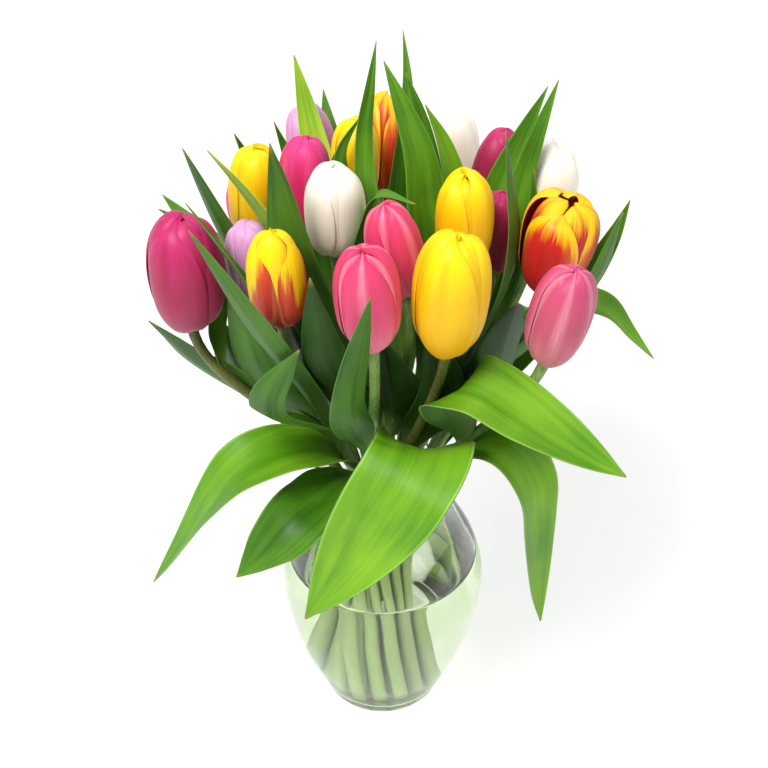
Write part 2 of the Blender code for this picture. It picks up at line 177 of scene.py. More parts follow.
def stemPath(place, head, steps):
    base, axis = head[:2]
    neck = np.array([*swirled(place, stemLooks["swirl"]), stemLooks["neckHeight"]])
    footTurn = stemLooks["swirl"] + stemLooks["twist"]
    foot = np.array([*swirled(place, footTurn) * stemLooks["footDraw"], stemLooks["glassFloor"]])
    tilt = unit(neck - foot)
    foot[2] += stemLooks["gap"] + stemLooks["radius"] * np.hypot(tilt[0], tilt[1])
    top = base - axis * stemLooks["gap"]
    climb = np.linalg.norm(top - neck)
    onward = unit(unit(neck - foot) + unit(top - neck))
    points = [foot + (neck - foot) * t for t in (0.0, 0.5)]
    for k in range(steps + 1):
        points.append(hermite(neck, top, onward * climb, axis * climb * 0.8, k / steps))
    return np.array(points)


def pathDistance(point, path):
    run = path[1:] - path[:-1]
    t = np.clip(((point - path[:-1]) * run).sum(1) / (run * run).sum(1), 0, 1)
    return np.linalg.norm(path[:-1] + run * t[:, None] - point, axis=1).min()


# leaves: each blade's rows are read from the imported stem, tip first

leafLooks = {
    "rowCorners": 6,      # three across, on both faces
    "rowSpans": 8,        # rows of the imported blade, less one
    "tipReach": 3.2,
    "fewestRows": 2,      # blades that cross a neighbour are read from their tip rows only
    "columns": 12,
    "rows": 40,
    "thickness": 0.7,
    "edgeWave": 0.06,
    "clasp": 3.4,
    "claspEnd": 0.22,
    "rootCurl": 1.5,
    "rootCurlEnd": 0.30,
    "curl": 0.34,
    "curlChange": 0.12,
    "droop": 0.05,
    "groove": 0.03,
    "grooveWidth": 0.12,
    "fullest": 0.45,      # where a blade's width is read
    "packedFullness": 0.97,
}


def leafRow(corners):
    # left edge, midrib and right edge of a row, each halfway through the thickness
    points = np.array([corner.co for corner in corners]) / mm
    middle = points.mean(0)
    axis = np.linalg.svd(points - middle)[2][0]
    order = np.argsort((points - middle) @ axis)
    return [points[order[k:k + 2]].mean(0) for k in (0, 2, 4)]


def measuredLeaves(number, path):
    sheet = weldedCopy("stem_%02d" % number)
    reach = stemLooks["radius"] + stemLooks["clearance"]
    blade = [c for c in sheet.verts if pathDistance(np.array(c.co) / mm, path) > reach]
    found = set()
    for corner in blade:
        near = [c for c in blade if (c.co - corner.co).length < leafLooks["tipReach"] * mm]
        if len(near) == leafLooks["rowCorners"]:
            found.add(frozenset(near))
    blade = set(blade)
    measured = []
    for tip in found:
        rows, seen = [tip], set(tip)
        while len(rows) < leafLooks["rowSpans"]:
            ahead = {edge.other_vert(c) for c in rows[-1] for edge in c.link_edges}
            ahead = (ahead - seen) & blade
            if len(ahead) != leafLooks["rowCorners"]:
                break
            rows.append(ahead)
            seen |= ahead
        if len(rows) >= leafLooks["fewestRows"]:
            measured.append([leafRow(row) for row in rows][::-1])
    sheet.free()
    return sorted(measured, key=lambda rows: rows[-1][1][0])


def leafCurve(rows, path):
    # the blade's midrib, side directions and width from its rows and its stem
    centres = [row[1] for row in rows]
    sides = [unit(row[2] - row[0]) for row in rows[:-1]]
    for k in range(1, len(sides)):
        if np.dot(sides[k], sides[k - 1]) < 0:
            sides[k] = -sides[k]
    sides.append(sides[-1])
    alongs = np.gradient(np.array(centres), axis=0)
    crease = sum(np.dot(np.cross(sides[k], unit(alongs[k])), rows[k][1] - (rows[k][0] + rows[k][2]) / 2)
                 for k in range(len(rows) - 1))
    if crease < 0:
        sides = [-side for side in sides]
    missing = leafLooks["rowSpans"] + 1 - len(rows)
    fullest = min(range(len(rows) - 1),
                  key=lambda k: abs((missing + k) / leafLooks["rowSpans"] - leafLooks["fullest"]))
    width = np.linalg.norm(rows[fullest][2] - rows[fullest][0]) / leafLooks["packedFullness"]
    width /= bladeWidth((missing + fullest) / leafLooks["rowSpans"])
    step = np.linalg.norm(np.diff(centres, axis=0), axis=1).mean()
    stemLine = evenSteps(path, 200)
    below = [k for k in range(1, 200) if stemLine[k][2] < centres[0][2]]
    root = min(below, key=lambda k: abs(np.linalg.norm(stemLine[k] - centres[0]) - missing * step * 0.98))
    stemAlong = unit(stemLine[root + 1] - stemLine[root - 1])
    keys = np.array([stemLine[root]] + centres)
    keySides = np.array([unit(sides[0] - stemAlong * np.dot(stemAlong, sides[0]))] + sides)
    marks = np.array([0.0] + [k / leafLooks["rowSpans"] for k in range(missing, leafLooks["rowSpans"] + 1)])
    slope = stemAlong * step * leafLooks["rowSpans"]
    line = np.array([smoothKeys(t, marks, keys, slope) for t in np.linspace(0, 1, leafLooks["rows"] + 1)])
    alongs = np.gradient(line, axis=0)
    sideLine, outLine = [], []
    for k, t in enumerate(np.linspace(0, 1, leafLooks["rows"] + 1)):
        along = unit(alongs[k])
        side = np.array([np.interp(t, marks, keySides[:, axis]) for axis in range(3)])
        side = unit(side - along * np.dot(along, side))
        sideLine.append(side)
        outLine.append(np.cross(side, along))
    return line, sideLine, outLine, width


# materials

def newMaterial(name):
    material = bpy.data.materials.new(name)
    material.use_nodes = True
    return material, material.node_tree, material.node_tree.nodes["Principled BSDF"]


def mathNode(tree, operation, first, second=None, clamp=False):
    node = tree.nodes.new("ShaderNodeMath")
    node.operation = operation
    node.use_clamp = clamp
    for slot, value in enumerate((first, second)):
        if value is None:
            continue
        if isinstance(value, (int, float)):
            node.inputs[slot].default_value = value
        else:
            tree.links.new(value, node.inputs[slot])
    return node.outputs[0]


def rampNode(tree, factor, stops, easing="EASE"):
    node = tree.nodes.new("ShaderNodeValToRGB")
    node.color_ramp.interpolation = easing
    marks = node.color_ramp.elements
    while len(marks) < len(stops):
        marks.new(0.5)
    for mark, (place, colour) in zip(marks, stops):
        mark.position = place
        mark.color = (*colour, 1.0)
    tree.links.new(factor, node.inputs[0])
    return node.outputs[0]


def maskNode(tree, factor, start, end):
    # 0 before start, 1 after end
    span = tree.nodes.new("ShaderNodeMapRange")
    span.interpolation_type = "SMOOTHSTEP"
    span.inputs["From Min"].default_value = start
    span.inputs["From Max"].default_value = end
    tree.links.new(factor, span.inputs["Value"])
    return span.outputs["Result"]


def mixColours(tree, factor, first, second, way="MIX"):
    node = tree.nodes.new("ShaderNodeMix")
    node.data_type = "RGBA"
    node.blend_type = way
    for socket, value in zip((node.inputs[0], node.inputs[6], node.inputs[7]), (factor, first, second)):
        if isinstance(value, (int, float)):
            socket.default_value = value
        elif isinstance(value, tuple):
            socket.default_value = (*value, 1.0)
        else:
            tree.links.new(value, socket)
    return node.outputs[2]


def noiseNode(tree, vector, scale, detail=2.0, stretch=(1.0, 1.0, 1.0)):
    place = tree.nodes.new("ShaderNodeMapping")
    place.inputs["Scale"].default_value = stretch
    tree.links.new(vector, place.inputs["Vector"])
    node = tree.nodes.new("ShaderNodeTexNoise")
    node.inputs["Scale"].default_value = scale
    node.inputs["Detail"].default_value = detail
    tree.links.new(place.outputs[0], node.inputs["Vector"])
    return node.outputs["Fac"]


def bladeCoordinates(tree):
    # across runs 0 to 1 from edge to edge, along 0 to 1 from foot to tip
    uv = tree.nodes.new("ShaderNodeUVMap")
    uv.uv_map = "blade"
    split = tree.nodes.new("ShaderNodeSeparateXYZ")
    tree.links.new(uv.outputs[0], split.inputs[0])
    offset = mathNode(tree, "SUBTRACT", split.outputs[0], 0.5)
    edge = mathNode(tree, "MULTIPLY", mathNode(tree, "ABSOLUTE", offset), 2.0)
    where = tree.nodes.new("ShaderNodeTexCoord").outputs["Object"]
    mixed = tree.nodes.new("ShaderNodeVectorMath")   # its own place makes each blade's streaks differ
    mixed.operation = "MULTIPLY_ADD"
    tree.links.new(where, mixed.inputs[0])
    mixed.inputs[1].default_value = (3.0, 3.0, 3.0)
    tree.links.new(uv.outputs[0], mixed.inputs[2])
    return split.outputs[1], edge, mixed.outputs[0], where


def addBump(tree, shader, height, strength, distance):
    bump = tree.nodes.new("ShaderNodeBump")
    bump.inputs["Strength"].default_value = strength
    bump.inputs["Distance"].default_value = distance
    tree.links.new(height, bump.inputs["Height"])
    tree.links.new(bump.outputs[0], shader.inputs["Normal"])


petalFinishes = {
    # colours up the petal: foot, lower, middle, upper; then the edge, the mid streak and its strength
    "magenta": ((0.66, 0.36, 0.42), (0.36, 0.045, 0.11), (0.35, 0.018, 0.070), (0.50, 0.022, 0.13),
                (0.58, 0.040, 0.17), (0.30, 0.010, 0.05), 0.35),
    "pink": ((0.68, 0.36, 0.40), (0.50, 0.035, 0.12), (0.58, 0.016, 0.10), (0.70, 0.035, 0.20),
             (0.78, 0.16, 0.28), (0.78, 0.12, 0.26), 0.25),
    "rose": ((0.88, 0.52, 0.54), (0.84, 0.22, 0.30), (0.68, 0.055, 0.15), (0.70, 0.045, 0.14),
             (0.58, 0.018, 0.075), (0.92, 0.34, 0.42), 0.50),
    "pinkLilac": ((0.74, 0.42, 0.42), (0.60, 0.18, 0.23), (0.50, 0.08, 0.14), (0.56, 0.060, 0.16),
                  (0.66, 0.18, 0.28), (0.76, 0.34, 0.40), 0.45),
    "lilac": ((0.60, 0.46, 0.50), (0.52, 0.22, 0.40), (0.54, 0.22, 0.44), (0.68, 0.34, 0.58),
              (0.76, 0.48, 0.70), (0.72, 0.42, 0.62), 0.25),
    "yellow": ((0.66, 0.54, 0.03), (0.76, 0.38, 0.002), (0.88, 0.50, 0.001), (0.98, 0.66, 0.003),
               (0.98, 0.62, 0.002), (0.72, 0.34, 0.001), 0.30),
    "white": ((0.62, 0.70, 0.40), (0.82, 0.70, 0.52), (0.90, 0.80, 0.64), (0.94, 0.90, 0.80),
              (0.94, 0.90, 0.80), (0.80, 0.74, 0.48), 0.30),
    "flame": ((0.70, 0.24, 0.14), (0.56, 0.045, 0.035), (0.70, 0.080, 0.022), (0.96, 0.66, 0.003),
              (0.58, 0.035, 0.022), (0.98, 0.70, 0.004), 0.20),
    "ember": ((0.62, 0.18, 0.05), (0.46, 0.014, 0.014), (0.58, 0.020, 0.014), (0.94, 0.52, 0.004),
              (0.96, 0.54, 0.004), (0.40, 0.008, 0.010), 0.30),
}


petalLooks = {
    # plain petals, then flamed ones
    "sway": (0.3, 0.5),
    "comb": (0.12, 0.35),
    "edgePower": (7.0, 5.0),
    "edgeStrength": (0.7, 0.85),
}


def petalMaterial(name, finish):
    foot, lower, middle, upper, rim, streak, streakStrength = finish
    material, tree, shader = newMaterial(name + "Petal")
    along, edge, streaks = bladeCoordinates(tree)[:3]
    fine = noiseNode(tree, streaks, 1.0, 3.0, (46.0, 2.2, 12.0))
    broad = noiseNode(tree, streaks, 1.0, 2.0, (9.0, 1.2, 8.0))
    flamed = name in ("flame", "ember")
    sway = mathNode(tree, "MULTIPLY", mathNode(tree, "SUBTRACT", broad, 0.5),
                    petalLooks["sway"][flamed])
    comb = mathNode(tree, "MULTIPLY", mathNode(tree, "SUBTRACT", fine, 0.5),
                    petalLooks["comb"][flamed])
    height = mathNode(tree, "ADD", mathNode(tree, "ADD", along, sway), comb)
    if name == "flame":   # red climbs the sides, the middle is yellow
        drop = mathNode(tree, "MULTIPLY", mathNode(tree, "POWER", edge, 2.0), -0.46)
        height = mathNode(tree, "ADD", height, drop)
        stops = [(0.03, foot), (0.14, lower), (0.44, middle), (0.62, upper)]
    elif name == "ember":   # red up to the tip, which is yellow along its edge
        lift = mathNode(tree, "MULTIPLY", mathNode(tree, "POWER", edge, 3.0), 0.26)
        height = mathNode(tree, "ADD", height, lift)
        stops = [(0.03, foot), (0.16, lower), (0.70, middle), (0.94, upper)]
    else:
        stops = [(0.01, foot), (0.16, lower), (0.55, middle), (0.95, upper)]
    colour = rampNode(tree, height, stops)
    rimMask = mathNode(tree, "POWER", edge, petalLooks["edgePower"][flamed])
    rimMask = mathNode(tree, "MULTIPLY", rimMask, petalLooks["edgeStrength"][flamed])
    colour = mixColours(tree, rimMask, colour, rim)
    band = mathNode(tree, "MULTIPLY", maskNode(tree, edge, 0.26, 0.0), maskNode(tree, along, 0.15, 0.5))
    band = mathNode(tree, "MULTIPLY", band, mathNode(tree, "MULTIPLY", fine, 2 * streakStrength), True)
    colour = mixColours(tree, band, colour, streak)
    shade = rampNode(tree, fine, [(0.25, (0.82, 0.82, 0.82)), (0.75, (1.0, 1.0, 1.0))])
    colour = mixColours(tree, 0.25 if name in ("yellow", "white") else 0.55, colour, shade, "MULTIPLY")
    tree.links.new(colour, shader.inputs["Base Color"])
    shader.inputs["Roughness"].default_value = 0.45
    shader.inputs["Specular IOR Level"].default_value = 0.28
    shader.inputs["Subsurface Weight"].default_value = 0.12
    shader.inputs["Subsurface Radius"].default_value = (1.0, 0.5, 0.4)
    shader.inputs["Subsurface Scale"].default_value = 0.003
    addBump(tree, shader, fine, 0.18, 0.0006)
    return material


leafFinishes = {
    # dark and light of the outer face, then dark and light of the inner face
    # apart from the fresh green these are lit and shaded copies of one leaf green: painted light on leaves
    # at the front and on top of the bunch, painted shade on leaves deep inside it
    "litBright": ((0.050, 0.13, 0.030), (0.12, 0.24, 0.060), (0.060, 0.22, 0.003), (0.20, 0.42, 0.015)),
    "fresh": ((0.016, 0.070, 0.004), (0.075, 0.20, 0.014), (0.022, 0.105, 0.002), (0.10, 0.27, 0.008)),
    "shadedDeep": ((0.005, 0.026, 0.002), (0.024, 0.080, 0.006), (0.006, 0.034, 0.001), (0.03, 0.10, 0.004)),
    "backlitPale": ((0.16, 0.34, 0.025), (0.38, 0.58, 0.07), (0.18, 0.38, 0.02), (0.40, 0.60, 0.05)),
}


def leafMaterial(name, dark, light):
    material, tree, shader = newMaterial(name)
    along, edge, streaks, where = bladeCoordinates(tree)
    veins = noiseNode(tree, streaks, 1.0, 2.0, (95.0, 1.3, 4.0))
    bands = noiseNode(tree, streaks, 1.0, 2.0, (5.0, 1.6, 5.0))
    cloud = noiseNode(tree, where, 20.0, 2.0)
    broad = mathNode(tree, "ADD", mathNode(tree, "MULTIPLY", bands, 0.45),
                     mathNode(tree, "MULTIPLY", cloud, 0.55))
    shade = mathNode(tree, "ADD", mathNode(tree, "MULTIPLY", veins, 0.22),
                     mathNode(tree, "MULTIPLY", broad, 1.05))
    colour = rampNode(tree, shade, [(0.40, dark), (0.86, light)])
    paleFoot = tuple(0.55 * c + 0.45 * p for c, p in zip(light, (0.36, 0.50, 0.16)))
    colour = mixColours(tree, maskNode(tree, along, 0.26, 0.0), colour, paleFoot)
    # painted highlight: a lighter line along each blade's edge
    rim = tuple(min(1.0, c * 1.5 + 0.03) for c in light)
    rimMask = mathNode(tree, "MULTIPLY", maskNode(tree, edge, 0.93, 0.99), 0.55)
    colour = mixColours(tree, rimMask, colour, rim)
    colour = mixColours(tree, mathNode(tree, "MULTIPLY", maskNode(tree, along, 0.965, 1.0), 0.8),
                        colour, (0.26, 0.24, 0.04))
    tree.links.new(colour, shader.inputs["Base Color"])
    rough = rampNode(tree, broad, [(0.3, (0.42, 0.42, 0.42)), (0.7, (0.56, 0.56, 0.56))])
    tree.links.new(rough, shader.inputs["Roughness"])
    shader.inputs["Specular IOR Level"].default_value = 0.30
    shader.inputs["Subsurface Weight"].default_value = 0.05
    shader.inputs["Subsurface Radius"].default_value = (0.5, 1.0, 0.2)
    shader.inputs["Subsurface Scale"].default_value = 0.002
    addBump(tree, shader, veins, 0.30, 0.0005)
    return material


stemFinishes = {
    "green": ((0.10, 0.22, 0.03), (0.34, 0.48, 0.14)),
    "tan": ((0.055, 0.070, 0.010), (0.20, 0.20, 0.045)),
    "tanStems": (1, 13),
    "underWaterTint": (0.60, 0.74, 0.34),
    "waterLine": 0.120,
}


def stemMaterial(name, dark, light):
    material, tree, shader = newMaterial(name)
    where = tree.nodes.new("ShaderNodeTexCoord").outputs["Object"]
    streak = noiseNode(tree, where, 1.0, 3.0, (900.0, 900.0, 14.0))
    patch = noiseNode(tree, where, 30.0, 2.0)
    shade = mathNode(tree, "ADD", mathNode(tree, "MULTIPLY", streak, 0.5),
                     mathNode(tree, "MULTIPLY", patch, 0.6))
    colour = rampNode(tree, shade, [(0.35, dark), (0.80, light)])
    split = tree.nodes.new("ShaderNodeSeparateXYZ")
    tree.links.new(where, split.inputs[0])
    line = stemFinishes["waterLine"]
    # the stems are drawn paler below the water line
    underWater = mathNode(tree, "MULTIPLY", maskNode(tree, split.outputs[2], line + 0.04, line - 0.01), 0.75)
    colour = mixColours(tree, underWater, colour, stemFinishes["underWaterTint"])
    tree.links.new(colour, shader.inputs["Base Color"])
    shader.inputs["Roughness"].default_value = 0.45
    shader.inputs["Subsurface Weight"].default_value = 0.1
    shader.inputs["Subsurface Scale"].default_value = 0.003
    addBump(tree, shader, streak, 0.25, 0.0004)
    return material


glassLooks = {
    "clear": (0.965, 0.985, 0.945),
    "cloud": (0.940, 0.970, 0.905),
    "edge": (0.78, 0.87, 0.73),
    "waterClear": (0.94, 0.97, 0.88),
    "waterCloud": (0.74, 0.86, 0.58),
    "waterEdge": (0.62, 0.75, 0.52),
    "glassIor": 1.46,
    "waterIor": 1.333,
}


def clearMaterial(name, clear, cloudy, edgeTint, ior):
    # clear stuff bends what the eye sees and lets the lamps through to what stands inside
    material, tree, shader = newMaterial(name)
    where = tree.nodes.new("ShaderNodeTexCoord").outputs["Object"]
    cloud = noiseNode(tree, where, 26.0, 1.0, (1.0, 1.0, 0.6))
    colour = rampNode(tree, cloud, [(0.38, cloudy), (0.60, clear)])
    facing = tree.nodes.new("ShaderNodeLayerWeight")
    facing.inputs["Blend"].default_value = 0.25
    colour = mixColours(tree, facing.outputs["Facing"], colour, edgeTint)
    tree.links.new(colour, shader.inputs["Base Color"])
    shader.inputs["Roughness"].default_value = 0.0
    shader.inputs["IOR"].default_value = ior
    shader.inputs["Transmission Weight"].default_value = 1.0
    rays = tree.nodes.new("ShaderNodeLightPath")
    through = tree.nodes.new("ShaderNodeBsdfTransparent")
    through.inputs[0].default_value = (*clear, 1.0)
    mix = tree.nodes.new("ShaderNodeMixShader")
    tree.links.new(rays.outputs["Is Shadow Ray"], mix.inputs[0])
    tree.links.new(shader.outputs[0], mix.inputs[1])
    tree.links.new(through.outputs[0], mix.inputs[2])
    tree.links.new(mix.outputs[0], tree.nodes["Material Output"].inputs["Surface"])
    return material


# pieces

def finishPiece(sheet, name, nodes, finishes):
    mesh = bpy.data.meshes.new(name)
    sheet.to_mesh(mesh)
    sheet.free()
    for finish in finishes:
        mesh.materials.append(finish)
    mesh.shade_smooth()
    piece = bpy.data.objects.new(name, mesh)
    bpy.context.scene.collection.objects.link(piece)
    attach(piece, "root")
    if nodes:
        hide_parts(*nodes)
    return piece


def addShell(piece, thickness, innerSlot=0):
    wall = piece.modifiers.new("thickness", "SOLIDIFY")
    wall.thickness = thickness
    wall.offset = 0.0
    wall.material_offset = innerSlot
    rounding = piece.modifiers.new("rounding", "SUBSURF")
    rounding.levels = 1
    rounding.render_levels = 1


def gridSheet(sheet, columns, rows, place, uvLayer):
    # a flat grid whose corners are carried to their place on the blade
    corners = bmesh.ops.create_grid(sheet, x_segments=columns, y_segments=rows, size=0.5)["verts"]
    flat = {corner: (corner.co.x + 0.5, corner.co.y + 0.5) for corner in corners}
    for face in {face for corner in corners for face in corner.link_faces}:
        for loop in face.loops:
            loop[uvLayer].uv = flat[loop.vert]
    for corner in corners:
        u, v = flat[corner]
        corner.co = Vector(place(u * 2 - 1, v)) * mm


vaseLooks = {
    "turnSteps": 128,
    "waterLevel": 120.0,
    "waterOverlap": 0.25,
    "meniscus": 1.2,
    "footHollow": 1.8,
}


def smoothOutline(points, perSpan):
    points = np.array(points, float)
    travelled = np.concatenate([[0], np.cumsum(np.linalg.norm(np.diff(points, axis=0), axis=1))])
    marks = np.linspace(0, travelled[-1], perSpan * (len(points) - 1) + 1)
    return [tuple(smoothKeys(m, travelled, points)) for m in marks]


def turnedSheet(outline):
    sketch = bmesh.new()
    corners = [sketch.verts.new((max(r, 0.0) * mm, 0.0, z * mm)) for r, z in outline]
    edges = [sketch.edges.new((a, b)) for a, b in zip(corners[:-1], corners[1:])]
    bmesh.ops.spin(sketch, geom=corners + edges, cent=(0, 0, 0), axis=(0, 0, 1),
                   angle=2 * pi, steps=vaseLooks["turnSteps"], use_merge=True)
    bmesh.ops.remove_doubles(sketch, verts=sketch.verts, dist=0.00001)
    bmesh.ops.recalc_face_normals(sketch, faces=sketch.faces)
    return sketch


def makeVase(outside, inside):
    floor = stemLooks["glassFloor"]
    rimOut, rimIn = outside[-1][0], inside[0][0]
    rim = [(rimOut - 0.6, outside[-1][1] + 0.8), ((rimOut + rimIn) / 2, outside[-1][1] + 1.1),
           (rimIn + 0.6, outside[-1][1] + 0.9)]
    hollow = vaseLooks["footHollow"]
    outline = [(0.0, hollow), (28.0, hollow - 0.3), (33.0, 0.7), (35.5, 0.0)]
    outline += smoothOutline(outside, 4) + rim + smoothOutline(inside, 4)
    outline += [(30.0, floor), (15.0, floor), (0.0, floor)]
    glass = clearMaterial("clearGlass", glassLooks["clear"], glassLooks["cloud"], glassLooks["edge"],
                          glassLooks["glassIor"])
    return finishPiece(turnedSheet(outline), "vaseGlass", ["vase"], [glass])


def makeWater(inside):
    # the water reaches just into the glass, so no film of air shows between them
    level = vaseLooks["waterLevel"]
    climb = vaseLooks["meniscus"]
    low = stemLooks["glassFloor"] - 0.1
    outline = [(0.0, low), (15.0, low), (30.0, low)]
    for r, z in smoothOutline(inside[::-1], 4):
        if z < level + climb:
            outline.append((r + vaseLooks["waterOverlap"], z))
    edge = outline[-1][0]
    outline.append((edge - 0.1, level + climb))
    for inwards, rise in ((0.8, 0.55), (1.8, 0.25), (3.2, 0.06), (5.0, 0.0)):
        outline.append((edge - inwards, level + rise * climb))
    outline.append((0.0, level))
    water = clearMaterial("clearWater", glassLooks["waterClear"], glassLooks["waterCloud"],
                          glassLooks["waterEdge"], glassLooks["waterIor"])
    return finishPiece(turnedSheet(outline), "vaseWater", [], [water])


def makeStem(number, path, finish):
    rows = stemLooks["rows"]
    line = evenSteps(path, rows)
    tangents = np.gradient(line, axis=0)
    sheet = bmesh.new()
    uvLayer = sheet.loops.layers.uv.new("blade")

    def place(across, v):
        k = int(round(v * rows))
        along = unit(tangents[k])
        side = unit(np.cross(along, (0.0, 1.0, 0.2)))
        other = np.cross(along, side)
        angle = across * pi
        swell = 1 + stemLooks["footSwell"] * (1 - v) ** 2
        nearTop = (v - stemLooks["topSwellFrom"]) / (1 - stemLooks["topSwellFrom"])
        swell += stemLooks["topSwell"] * max(0.0, nearTop) ** 2
        swell += stemLooks["wobble"] * sin(9 * v + number) * cos(2 * angle)
        swell += stemLooks["differ"] * sin(2.3 * number) * (1 - v)
        return line[k] + (side * cos(angle) + other * sin(angle)) * stemLooks["radius"] * swell

    gridSheet(sheet, stemLooks["sides"], rows, place, uvLayer)
    bmesh.ops.remove_doubles(sheet, verts=sheet.verts, dist=0.00001)
    bmesh.ops.holes_fill(sheet, edges=[edge for edge in sheet.edges if edge.is_boundary], sides=40)
    bmesh.ops.recalc_face_normals(sheet, faces=sheet.faces)
    return finishPiece(sheet, "tulipStem%02d" % number, ["stem_%02d" % number], [finish])


def bladeWidth(t):
    # narrow where it clasps the stem, fullest below the middle, a blunt point at the tip
    if t < 0.40:
        return 0.30 + 0.70 * sin(pi / 2 * t / 0.40)
    return max(0.02, 1.0 - ((t - 0.40) / 0.60) ** 2.3)


def makeLeaf(name, number, curve, finishes):
    line, sides, outs, width = curve
    rows = leafLooks["rows"]
    seed = sum(ord(letter) for letter in name)
    sheet = bmesh.new()
    uvLayer = sheet.loops.layers.uv.new("blade")

    def place(across, v):
        k = int(round(v * rows))
        half = 0.5 * width * bladeWidth(v)
        wrap = leafLooks["rootCurl"] * max(0.0, 1 - v / leafLooks["rootCurlEnd"]) ** 1.5
        wrap = wrap + leafLooks["curl"] + leafLooks["curlChange"] * sin(seed + 4 * v)
        theta = across * wrap
        flat = sin(theta) / wrap * half
        sunk = (1 - cos(theta)) / wrap * half + leafLooks["droop"] * half * abs(across)
        wave = leafLooks["edgeWave"] * half * across ** 2 * sin(11 * v + seed + 2.2 * across)
        groove = leafLooks["groove"] * half * exp(-(across / leafLooks["grooveWidth"]) ** 2)
        hold = leafLooks["clasp"] * max(0.0, 1 - v / leafLooks["claspEnd"])
        return line[k] + sides[k] * flat - outs[k] * (sunk + wave - groove - hold)

    gridSheet(sheet, leafLooks["columns"], rows, place, uvLayer)
    piece = finishPiece(sheet, name, ["stem_%02d" % number], finishes)
    addShell(piece, leafLooks["thickness"] * mm, 1)


headLooks = {
    "lobes": 1.05,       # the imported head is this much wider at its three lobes
    "columns": 10,
    "rows": 18,
    "thickness": 0.55,
    "marks": (0.0, 0.05, 0.13, 0.27, 0.42, 0.58, 0.73, 0.86, 0.95, 1.0),
    "reach": (0.12, 0.40, 0.66, 0.89, 0.98, 0.99, 0.92, 0.73, 0.44, 0.02),
    "rise": (0.020, 0.012, 0.07, 0.21, 0.38, 0.57, 0.745, 0.89, 0.975, 1.0),
    "outerSpread": (0.50, 0.66, 0.88, 1.06, 1.12, 1.10, 1.00, 0.86, 0.68, 0.42),
    "innerSpread": (0.50, 0.66, 0.88, 1.04, 1.12, 1.16, 1.18, 1.16, 1.12, 1.00),
    "innerReach": 0.90,
    "lengthFit": 1.02,   # folded tips and raised edges allowed for,
    "widthFit": 0.98,    # so that a drawn head is as long and wide as its solid
    "tipTuck": (-0.24, -0.10, -0.02),      # the tips fold over one another
    "tipStep": (0.0, 0.022, 0.045),
    "edgeLift": 0.050,
    "innerLift": 0.4,
    "innerTuck": -0.10,
    "innerStep": 0.02,
    "opening": 0.30,
    "bow": 0.060,
    "edgeBow": 0.040,
    "ridge": 0.022,
    "ridgeWidth": 0.16,
    "ruffle": 0.02,
    "roundTop": 0.05,
    "footNotch": 0.080,
}

# how each head stands: turn of its first petal from the front in degrees, how far it has opened
headPoses = {
    1: (-25, 0.0), 2: (20, 0.15), 3: (50, 0.05), 4: (10, 0.0), 5: (60, 0.0), 6: (30, 0.1),
    7: (58, 0.0), 8: (50, 0.1), 9: (0, 0.1), 10: (45, 0.0), 11: (-5, 0.0), 12: (65, 0.0),
    13: (-18, 0.05), 14: (0, 0.1), 15: (60, 0.0), 16: (20, 0.35), 17: (-30, 0.7), 18: (-10, 0.05),
    19: (20, 0.0), 20: (10, 0.1), 21: (40, 0.2), 22: (0, 0.1), 23: (25, 0.1), 24: (50, 0.4),
}


def makeHead(number, head, finishes):
    foot, axis, length, width = head
    turn, opened = headPoses[number]
    side = unit(np.cross((0.0, 1.0, 0.0), axis))
    other = np.cross(axis, side)
    sheet = bmesh.new()
    uvLayer = sheet.loops.layers.uv.new("blade")

    def petalPlace(petal):
        inner = petal >= 3
        azimuth = radians(-90 + turn + 120 * (petal % 3) + (60 if inner else 0))
        seed = number * 7 + petal * 13
        grow = 1.0 + 0.025 * sin(seed) - (0.0 if inner else 0.02)
        loose = opened * (0.55 if inner else 1.0) * (1 + 0.3 * sin(seed * 1.7))

        spreads = headLooks["innerSpread" if inner else "outerSpread"]
        tuck = headLooks["innerTuck"] if inner else headLooks["tipTuck"][(petal + number) % 3]
        step = headLooks["tipStep"][(petal + number) % 3] + (headLooks["innerStep"] if inner else 0.0)

        def place(across, v):
            reach = smoothKeys(v, headLooks["marks"], headLooks["reach"]) * width * 0.5
            rise = smoothKeys(v, headLooks["marks"], headLooks["rise"]) * length * grow
            spread = max(smoothKeys(v, headLooks["marks"], spreads), 0.02)
            reach *= headLooks["innerReach"] if inner else 1.0
            reach += tuck * width * 0.5 * v ** 8
            reach += loose * width * headLooks["opening"] * v ** 2.2
            spread *= 1 - 0.25 * loose * v
            bow = 1 - headLooks["bow"] * across ** 2 - headLooks["edgeBow"] * abs(across) ** 6
            twist = headLooks["edgeLift"] * across * (headLooks["innerLift"] if inner else 1.0)
            twist *= sin(pi * min(1, v * 0.9 + 0.1))
            ridge = headLooks["ridge"] * exp(-(across / headLooks["ridgeWidth"]) ** 2)
            ridge *= sin(pi * min(1, v * 1.1))
            ruffle = headLooks["ruffle"] * across ** 2 * sin(7 * v + seed + 3 * across) * v
            reach *= bow + twist + ridge + ruffle
            angle = azimuth + across * spread
            rise += headLooks["footNotch"] * length * across ** 2 * exp(-(v / 0.13) ** 2)
            rise -= headLooks["roundTop"] * length * across ** 2 * v ** 6 + step * length * v ** 4
            return foot + axis * rise + (side * cos(angle) + other * sin(angle)) * reach
        return place

    for petal in range(6):
        gridSheet(sheet, headLooks["columns"], headLooks["rows"], petalPlace(petal), uvLayer)
    piece = finishPiece(sheet, "tulipHead%02d" % number, ["bloom_%02d" % number], finishes)
    addShell(piece, headLooks["thickness"] * mm)


# camera, lamps and floor

cameraLooks = {
    "lens": 80.0,
    "distance": 1.02,
    "elevation": 40.0,
    "target": (0.001, 0.0, 0.258),
}


